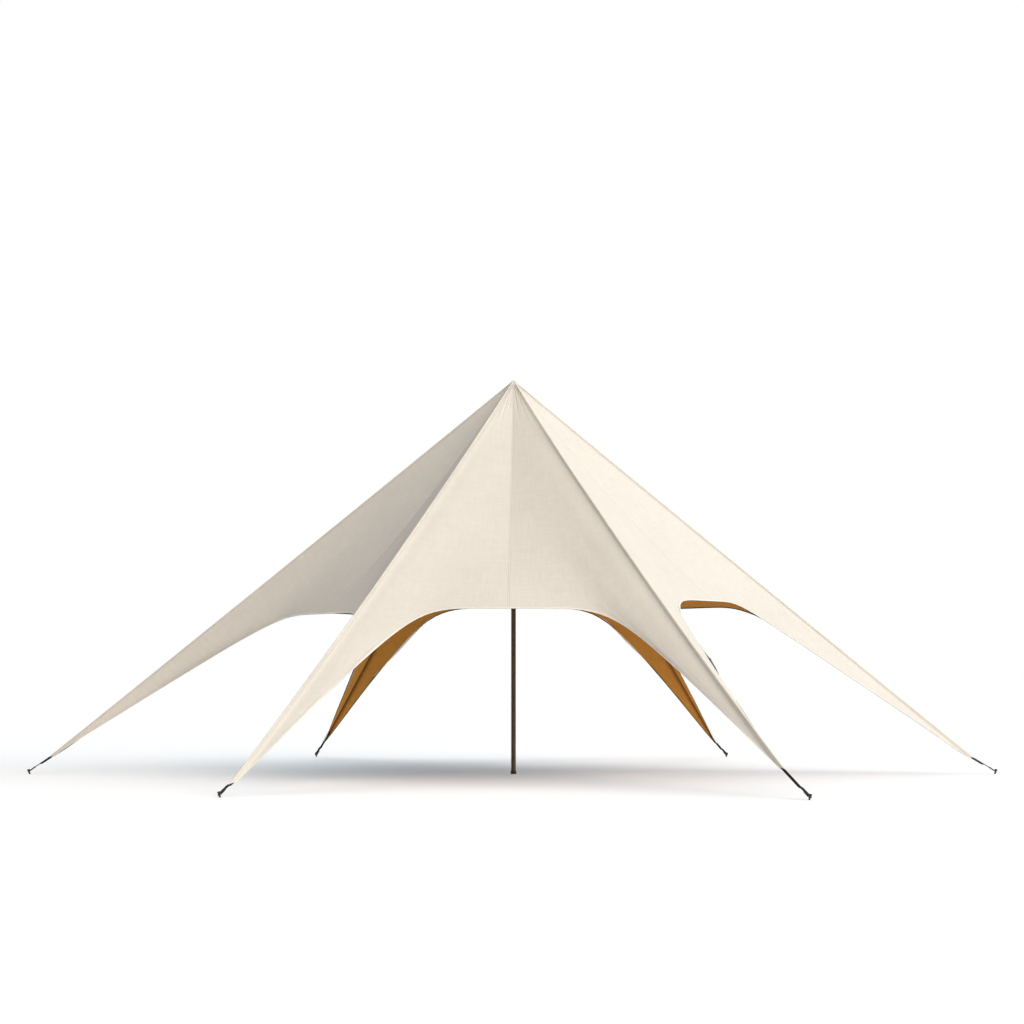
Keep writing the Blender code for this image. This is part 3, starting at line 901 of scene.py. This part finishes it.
class STARTENT_OT_hems(bpy.types.Operator):
    """Binds every hem: a canvas fold outside and round the edge, a black tape inside"""

    bl_idname = "star_tent.hems"
    bl_label = "Hem bindings and tapes"

    def hem_strip(self, bay_name, profile, width):
        """A profile of (share of the width, height) pairs carried along a hem, with its flat map.

        The strip keeps its full width in the arch and narrows towards the arms' tips.
        """
        above_hem, hem = bay_grid(bay_name, np.array([ABOVE_HEM, 1.0]))[:, ROLL_COLUMNS:-ROLL_COLUMNS]
        along = unit(np.gradient(hem, axis=0))
        outwards = unit(np.cross(hem - above_hem, along))
        inwards = unit(np.cross(outwards, along))
        run = lengths(hem, 0)
        room = np.minimum(run, run[-1] - run)
        narrow = HEM_NARROW + (1 - HEM_NARROW) * smooth(0.0, HEM_FULL_AFTER, room)
        profile = np.array(profile)
        shape = np.repeat(profile[None], len(hem), axis=0)
        shape[..., 0] *= width * narrow[:, None]
        grid = carried(hem, inwards, outwards, shape)
        return grid[:, ::-1], flat_map(shape[..., 0], run[:, None])[:, ::-1]

    def execute(self, context):
        sizes = context.scene.star_tent
        over = UNDER_BINDING + sizes.strip_thickness
        under = UNDER_BINDING + sizes.cloth_thickness
        binding = [
            (1.0, over * 0.72), (0.8, over * 0.92), (0.6, over), (0.33, over), (0.06, over),
            (-0.02, over * 0.6), (-0.05, -under * 0.3), (-0.03, -under), (0.04, -under)]
        low = under + sizes.strip_thickness + TAPE_CLEARANCE
        tape = [(share, -low) for share in np.linspace(*TAPE_SPAN, 7)]
        for bay_name in BAYS:
            grid, uv = self.hem_strip(bay_name, binding, BINDING_WIDTH)
            make_piece(
                f"{bay_name}_hem_binding", [(grid, SHEET)], "hem canvas", uv=uv,
                thickness=sizes.strip_thickness)
            grid, uv = self.hem_strip(bay_name, tape, TAPE_WIDTH)
            zero = (TAPE_WIDTH * TAPE_MIDDLE, 0)
            make_piece(
                f"{bay_name}_hem_webbing", [(grid, SHEET)], "black webbing weave", uv=uv - zero,
                thickness=sizes.strip_thickness, replaces=[f"{bay_name}_hem_tape"])
        return {"FINISHED"}


class STARTENT_OT_canopy(bpy.types.Operator):
    """Cuts and hangs the six bays of canvas, cream outside and amber inside"""

    bl_idname = "star_tent.canopy"
    bl_label = "Canopy"

    def execute(self, context):
        sizes = context.scene.star_tent
        down = down_steps()
        seam = HALF_COLUMNS + ROLL_COLUMNS
        for bay_name, bay in BAYS.items():
            grid = bay_grid(bay_name, down)
            across, run = lengths(grid, 1), lengths(grid, 0)
            from_ridge = np.minimum(across, across[:, -1:] - across)
            sheet = make_piece(
                f"{bay_name}_canopy", [(grid, SHEET)], "canvas outside", "canvas underside",
                shade_angle=60, thickness=sizes.cloth_thickness,
                uv=flat_map(across - across[:, seam:seam + 1], run),
                edges=flat_map(from_ridge, run[-1:] - run),
                replaces=[f"{bay_name}_panel_left", f"{bay_name}_panel_right"])
        return {"FINISHED"}


class STARTENT_OT_ridges(bpy.types.Operator):
    """Sews a folded canvas strip over each ridge and a brown tape under it"""

    bl_idname = "star_tent.ridges"
    bl_label = "Ridge strips and tapes"

    def margin(self, arm_name, half, down, lift):
        """Two columns on the flat cloth beside a ridge, of the bay whose left or right half meets it."""
        bay_name = next(name for name, bay in BAYS.items() if bay["arms"][half] == arm_name)
        width = gore_size(BAYS[bay_name], half, down)
        margin = BAND_MARGIN * smooth(0.0, 0.12, down) * smooth(0.0, 0.25, width)
        margin = np.minimum(margin, 0.4 * width)[:, None] * np.array([1.0, 0.5])[None]
        across = 1 - margin / np.maximum(width[:, None], 1e-6)
        flat = cloth(bay_name, half, across, down[:, None])
        return raised(flat, np.full(across.shape, lift * BAND_MARGIN_LIFT))

    def tongue(self, last, arm):
        """Rows past the cloth's tip: the strip's end section, carried along the strap to a point.

        Its width shrinks by a share that falls from 1, its height by the square of that share.
        """
        _, along, beside, above, _ = pull_line(arm)
        top = last[len(last) // 2]
        wide, high = (last - top) @ beside, (last - top) @ above
        rows = []
        for step in np.linspace(0, 1, 9)[1:]:
            share = 1 - (1 - TONGUE_END) * step
            row = top + along * TONGUE_LENGTH * step - above * TONGUE_FALL * step
            rows.append(row + np.outer(wide * share, beside) + np.outer(high * share ** 2, above))
        return np.stack(rows)

    def execute(self, context):
        sizes = context.scene.star_tent
        lift = UNDER_BINDING + sizes.strip_thickness
        down = down_steps(180)
        inner = down_steps(150, INNER_TAPE_START)
        for arm_name, arm in ARMS.items():
            crown = fold_strip(arm, down, np.linspace(-1, 1, 13), lift, BAND_STEEPEST)
            after, before = [self.margin(arm_name, half, down, lift) for half in (0, 1)]
            grid = np.concatenate([before, crown, after[:, ::-1]], axis=1)
            grid = np.concatenate([grid, self.tongue(grid[-1], arm)])
            across = lengths(grid, 1)
            middle_column = across.shape[1] // 2
            make_piece(
                f"{arm_name}_ridge_strip", [(grid, SHEET)], "ridge canvas", thickness=sizes.strip_thickness,
                uv=flat_map(across - across[:, middle_column][:, None], lengths(grid, 0)),
                replaces=[f"{arm_name}_ridge_band"])
            places = np.linspace(-1, 1, 9) * INNER_TAPE_HALF_WIDTH / BAND_HALF_WIDTH
            under = fold_strip(arm, inner, places, -(sizes.cloth_thickness + UNDER_BINDING))
            make_piece(
                f"{arm_name}_ridge_inner_tape", [(under, SHEET)], "inner tape",
                thickness=sizes.strip_thickness, uv=flat_map(places * BAND_HALF_WIDTH, lengths(under, 0)))
        return {"FINISHED"}


class STARTENT_OT_peak(bpy.types.Operator):
    """Closes the peak with a stitched canvas patch over the eyelet"""

    bl_idname = "star_tent.peak"
    bl_label = "Peak patch"

    def execute(self, context):
        sizes = context.scene.star_tent
        share = np.linspace(0, 1, PATCH_STEPS)
        columns = []
        for bay_name in reversed(BAYS):
            for half, order in ((1, -1), (0, 1)):
                across = share[::order][:-1]
                down = share[:, None] * (PATCH_REACH - PATCH_SCALLOP * across)[None]
                columns.append(cloth(bay_name, half, across, down))
        grid = np.concatenate(columns, axis=1)
        lift = np.broadcast_to(PATCH_LIFT - PATCH_LIFT_FALL * share[:, None], grid.shape[:2])
        grid = raised(grid, lift)
        cap = UP * (PEAK_HEIGHT + PATCH_TOP) + PATCH_POINT * unit(grid[:1] * (1, 1, 0))
        grid = np.concatenate([cap, grid])
        run = lengths(grid, 0)
        make_piece(
            "peak_patch", [(grid, SLEEVE)], "peak canvas", thickness=sizes.strip_thickness,
            uv=flat_map(run[-1:] - run, np.arange(grid.shape[1]) * PATCH_COLUMN))
        return {"FINISHED"}


class STARTENT_OT_straps(bpy.types.Operator):
    """Runs each strap from under the arm's tip through its ring and back to a sewn end"""

    bl_idname = "star_tent.straps"
    bl_label = "Straps"

    def outline(self, half_width):
        """The strap's section: along its top and back along its bottom."""
        top = np.stack([np.linspace(-half_width, half_width, 9), np.full(9, STRAP_THICKNESS / 2)], axis=1)
        return np.concatenate([top, top[::-1] * (1, -1)])

    def tail_line(self):
        """The loose end seen from the side: out over the ring, a half turn, and back on top of itself."""
        start = -(RING_LENGTH + BUCKLE_FROM_RING - 0.004)
        out = np.linspace(start, TAIL_TURN, 24)
        low = 0.004 + 0.0055 * smooth(start + 0.02, start + 0.040, out) - 0.0105 * smooth(-0.100, -0.072, out)
        turn = np.radians(np.linspace(-90, 90, 14)[1:-1])
        back = np.linspace(TAIL_TURN, start + 0.055, 20)
        high = 0.0110 - 0.003 * smooth(-0.030, -0.060, back) + 0.002 * np.sin(45 * back)
        place = np.concatenate([out, TAIL_TURN + TAIL_TURN_RADIUS * np.cos(turn), back])
        return place, np.concatenate([low, 0.0050 + TAIL_TURN_RADIUS * np.sin(turn), high])

    def strap_line(self, arm):
        """The strap's middle line: under the ridge, taut to the ring, round its bar, and back.

        Also gives the length at which it reaches the ring.
        """
        far_end, along, _, above, whole = pull_line(arm)
        eye = far_end - along * RING_LENGTH
        radius = RING_BAR + STRAP_THICKNESS / 2 + 0.0005
        inside = ridge(arm, np.linspace(STRAP_START, 1.0, 8)[:-1]) - UP * STRAP_UNDER_CLOTH
        tip = far_end - along * whole
        meets_ring = eye - along * radius * 1.5 + above * radius
        free = tip + np.multiply.outer(np.linspace(0.0, 1.0, 16), meets_ring - tip)
        turn = np.radians(np.linspace(80, -170, 18))
        loop = eye + radius * np.stack([np.cos(turn), np.sin(turn)], axis=1) @ np.stack([along, above])
        back = np.linspace(0.1, 1.0, 10)[:, None]
        dip = np.sin(math.pi * back) * 0.0025
        returned = loop[-1] - along * back * RETURN_LENGTH - above * (dip - back * (radius - 0.0022))
        path = resampled(np.concatenate([inside, free, loop, returned]), 90)
        nearest = np.argmin(np.linalg.norm(path - meets_ring, axis=1))
        return path, lengths(path, 0)[nearest]

    def execute(self, context):
        for arm_name, arm in ARMS.items():
            far_end, along, beside, above, _ = pull_line(arm)
            path, ring_at = self.strap_line(arm)
            distance = lengths(path, 0)
            folded = 1 - smooth(ring_at - STRAP_FLAT_FROM, ring_at - STRAP_FLAT_FROM / 3, distance)
            outline = self.outline(STRAP_HALF_WIDTH)
            shape = np.repeat(outline[None], len(path), axis=0)
            tightness = np.square(outline[:, 0] / BAND_HALF_WIDTH) * BAND_HALF_WIDTH * BAND_TIP_SLOPE
            shape[..., 1] -= folded[:, None] * tightness[None]
            tangent = unit(np.gradient(path, axis=0))
            grid = carried(path, beside, unit(np.cross(tangent, beside)), shape)
            make_piece(
                f"{arm_name}_strap_webbing", [(grid, TUBE)], "black webbing weave",
                uv=flat_map(shape[..., 0], distance[:, None]), replaces=[f"{arm_name}_strap"])
            place, height = self.tail_line()
            path = far_end + np.multiply.outer(place, along) + np.multiply.outer(height, above)
            tangent = unit(np.gradient(path, axis=0))
            outline = self.outline(STRAP_HALF_WIDTH * 0.9)
            grid = carried(path, beside, unit(np.cross(tangent, beside)), outline)
            make_piece(
                f"{arm_name}_strap_tail", [(grid, TUBE)], "black webbing weave",
                uv=flat_map(outline[:, 0], lengths(path, 0)[:, None]))
        return {"FINISHED"}


class STARTENT_OT_fittings(bpy.types.Operator):
    """Makes the steel rings and the slider buckles on the straps"""

    bl_idname = "star_tent.fittings"
    bl_label = "Rings and buckles"

    def execute(self, context):
        ring_shape = rounded_loop(RING_LENGTH, RING_HALF_WIDTH, RING_HALF_WIDTH, RING_CORNER)
        ring_loop = resampled(ring_shape, 96, True)
        buckle_shape = rounded_loop(BUCKLE_LENGTH, BUCKLE_HALF_WIDTH, BUCKLE_FRONT, BUCKLE_CORNER)
        buckle_loop = resampled(buckle_shape, 72, True)
        for arm_name, arm in ARMS.items():
            far_end, along, beside, above, _ = pull_line(arm)
            grid = bar_loop(ring_loop, far_end, along, beside, above, RING_BAR)
            make_piece(
                f"{arm_name}_steel_ring", [(grid, LOOP)], "black coated steel",
                replaces=[f"{arm_name}_ring"])
            centre = far_end - along * (RING_LENGTH + BUCKLE_FROM_RING) + above * 0.0010
            outer = bar_loop(buckle_loop, centre, along, beside, above, BUCKLE_BAR, 12)
            reach = np.linspace(-SLIDE_HALF_WIDTH, SLIDE_HALF_WIDTH, 9)
            ends = centre - along * BUCKLE_LENGTH / 2 + np.multiply.outer(reach, beside)
            bar = carried(ends, along, above, SLIDE_BAR * circle(12))
            make_piece(f"{arm_name}_strap_buckle", [(outer, LOOP), (bar, TUBE)], "black coated steel")
        return {"FINISHED"}


class STARTENT_OT_pegs(bpy.types.Operator):
    """Turns the ground pegs with a neck and a hammered head, leaning away from the tent"""

    bl_idname = "star_tent.pegs"
    bl_label = "Ground pegs"

    def execute(self, context):
        for arm_name, arm in ARMS.items():
            out = direction(arm["angle"])
            grid = turned(PEG_PROFILE, 40, math.atan(PEG_LEAN), out, out * arm["peg"])
            make_piece(
                f"{arm_name}_ground_peg", [(grid, TUBE)], "black coated steel", shade_angle=35,
                replaces=[f"{arm_name}_peg"])
        return {"FINISHED"}


class STARTENT_OT_mast(bpy.types.Operator):
    """Finishes the mast: painted tube, moulded foot and steel head"""

    bl_idname = "star_tent.mast"
    bl_label = "Mast"

    def execute(self, context):
        low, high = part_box("mast_pole")
        bottom, top = low[2], high[2]
        joint = bottom + POLE_JOINT
        waist = POLE_RADIUS - POLE_GROOVE
        tube = [
            (END_RADIUS, bottom), (POLE_RADIUS - POLE_BEVEL, bottom), (POLE_RADIUS, bottom + POLE_BEVEL),
            (POLE_RADIUS, joint - 0.0016), (waist, joint - 0.0008), (waist, joint + 0.0008),
            (POLE_RADIUS, joint + 0.0016), (POLE_RADIUS, top - POLE_BEVEL), (POLE_RADIUS - POLE_BEVEL, top),
            (END_RADIUS, top)]
        make_piece(
            "mast_tube", [(turned(tube, 64), TUBE)], "bronze pole paint", shade_angle=30,
            replaces=["mast_pole"])
        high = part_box("mast_foot")[1]
        radius, height = high[0], high[2]
        rings = [(END_RADIUS, 0.0), (radius - 0.003, 0.0), (radius, 0.0025), (radius, 0.008)]
        for rib in range(FOOT_RIBS):
            start = 0.010 + rib * FOOT_RIB_PITCH
            groove = radius - FOOT_RIB_DEPTH
            rings += [(groove, start), (groove, start + 0.003)]
            rings += [(radius, start + 0.0045), (radius, start + 0.0065)]
        rings += [(radius - 0.001, height - 0.0012), (radius - 0.003, height), (END_RADIUS, height)]
        make_piece(
            "mast_rubber_foot", [(turned(rings, 64), TUBE)], "moulded rubber", shade_angle=25,
            replaces=["mast_foot"])
        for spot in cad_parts["mast_head"].material_slots:
            spot.material = finish_named("black coated steel")
        return {"FINISHED"}


class STARTENT_OT_studio(bpy.types.Operator):
    """Sets the pale floor, the soft lights and the camera"""

    bl_idname = "star_tent.studio"
    bl_label = "Studio"

    def execute(self, context):
        scene = context.scene
        studio = scene.star_tent_studio
        scene.view_settings.view_transform = "Standard"
        self.make_floor(studio)
        self.make_sky(scene, studio)
        self.make_lights(scene, studio)
        lens = bpy.data.cameras.new("front_camera")
        lens.lens = CAMERA_LENS
        lens.sensor_width = CAMERA_SENSOR
        lens.clip_end = CAMERA_SIGHT
        camera = bpy.data.objects.new("front_camera", lens)
        camera.location = (-CAMERA_SHIFT_LEFT, -CAMERA_DISTANCE, CAMERA_HEIGHT)
        camera.rotation_euler = (math.radians(90 + CAMERA_PITCH), 0, 0)
        scene.collection.objects.link(camera)
        scene.camera = camera
        return {"FINISHED"}

    def make_floor(self, studio):
        """A level floor as a fan of rings, so that it has no edge in view."""
        rim = np.pad(circle(FLOOR_SIDES), ((0, 0), (0, 1)))
        grid = np.multiply.outer(FLOOR_RINGS, rim) - UP * FLOOR_GAP
        faces = grid_faces(len(FLOOR_RINGS), FLOOR_SIDES, False, True).tolist() + [list(range(FLOOR_SIDES))]
        mesh = bpy.data.meshes.new("studio_floor")
        mesh.from_pydata(grid.reshape(-1, 3), [], faces)
        floor = bpy.data.objects.new("studio_floor", mesh)
        bpy.context.scene.collection.objects.link(floor)
        tree, shader, _, _, base = new_finish(
            "pale floor", FLOOR_COLOURS, (0.25, 5.0), 0.9, 0.1, span=(0.3, 0.7))
        tree.links.new(base, shader.inputs["Base Color"])
        shader.inputs["Emission Color"].default_value = FLOOR_GLOW_COLOUR
        shader.inputs["Emission Strength"].default_value = studio.floor_glow
        mesh.materials.append(bpy.data.materials["pale floor"])

    def make_sky(self, scene, studio):
        """Even light from all round; the camera sees it as plain white."""
        world = bpy.data.worlds.new("studio_white")
        world.use_nodes = True
        tree = world.node_tree
        tree.nodes.clear()
        light = put(tree, "ShaderNodeBackground", {"Color": SKY_COLOUR, "Strength": studio.sky_strength})
        white = put(tree, "ShaderNodeBackground", {"Color": WHITE, "Strength": 1.0})
        seen = put(tree, "ShaderNodeLightPath").outputs["Is Camera Ray"]
        both = put(tree, "ShaderNodeMixShader", {0: seen, 1: light.outputs[0], 2: white.outputs[0]})
        put(tree, "ShaderNodeOutputWorld", {0: both.outputs[0]})
        scene.world = world

    def make_lights(self, scene, studio):
        """Broad soft lights, so far away that the floor is lit evenly."""
        for name, place, share, colour, spread in LIGHTS:
            lamp = bpy.data.lights.new(name, "SUN")
            lamp.color = colour
            lamp.energy = studio.light_strength * share
            lamp.angle = math.radians(spread)
            light = bpy.data.objects.new(name, lamp)
            towards = unit(np.array(place))
            light.location = towards * LIGHT_DISTANCE
            turn = math.atan2(towards[1], towards[0]) + math.pi / 2
            light.rotation_euler = (math.acos(towards[2]), 0, turn)
            scene.collection.objects.link(light)


class STARTENT_PT_panel(bpy.types.Panel):
    """Lists the settings and the pieces of the star tent"""

    bl_idname = "STARTENT_PT_panel"
    bl_label = "Star Tent"
    bl_space_type = "VIEW_3D"
    bl_region_type = "UI"
    bl_category = "Star Tent"

    def draw(self, context):
        layout = self.layout
        for group in (context.scene.star_tent, context.scene.star_tent_studio):
            box = layout.box()
            for name in group.bl_rna.properties.keys():
                if name not in ("rna_type", "name"):
                    box.prop(group, name)
        for operator in OPERATORS:
            layout.operator(operator.bl_idname)


OPERATORS = (
    STARTENT_OT_hems,
    STARTENT_OT_canopy,
    STARTENT_OT_ridges,
    STARTENT_OT_peak,
    STARTENT_OT_straps,
    STARTENT_OT_fittings,
    STARTENT_OT_pegs,
    STARTENT_OT_mast,
    STARTENT_OT_studio,
)
CLASSES = (StarTentSizes, StarTentStudio, *OPERATORS, STARTENT_PT_panel)


def register():
    for item in CLASSES:
        bpy.utils.register_class(item)
    bpy.types.Scene.star_tent = bpy.props.PointerProperty(type=StarTentSizes)
    bpy.types.Scene.star_tent_studio = bpy.props.PointerProperty(type=StarTentStudio)


def unregister():
    del bpy.types.Scene.star_tent_studio
    del bpy.types.Scene.star_tent
    for item in reversed(CLASSES):
        bpy.utils.unregister_class(item)


def main():
    register()
    bpy.ops.star_tent.hems()
    bpy.ops.star_tent.canopy()
    bpy.ops.star_tent.ridges()
    bpy.ops.star_tent.peak()
    bpy.ops.star_tent.straps()
    bpy.ops.star_tent.fittings()
    bpy.ops.star_tent.pegs()
    bpy.ops.star_tent.mast()
    bpy.ops.star_tent.studio()


if __name__ == "__main__":
    main()
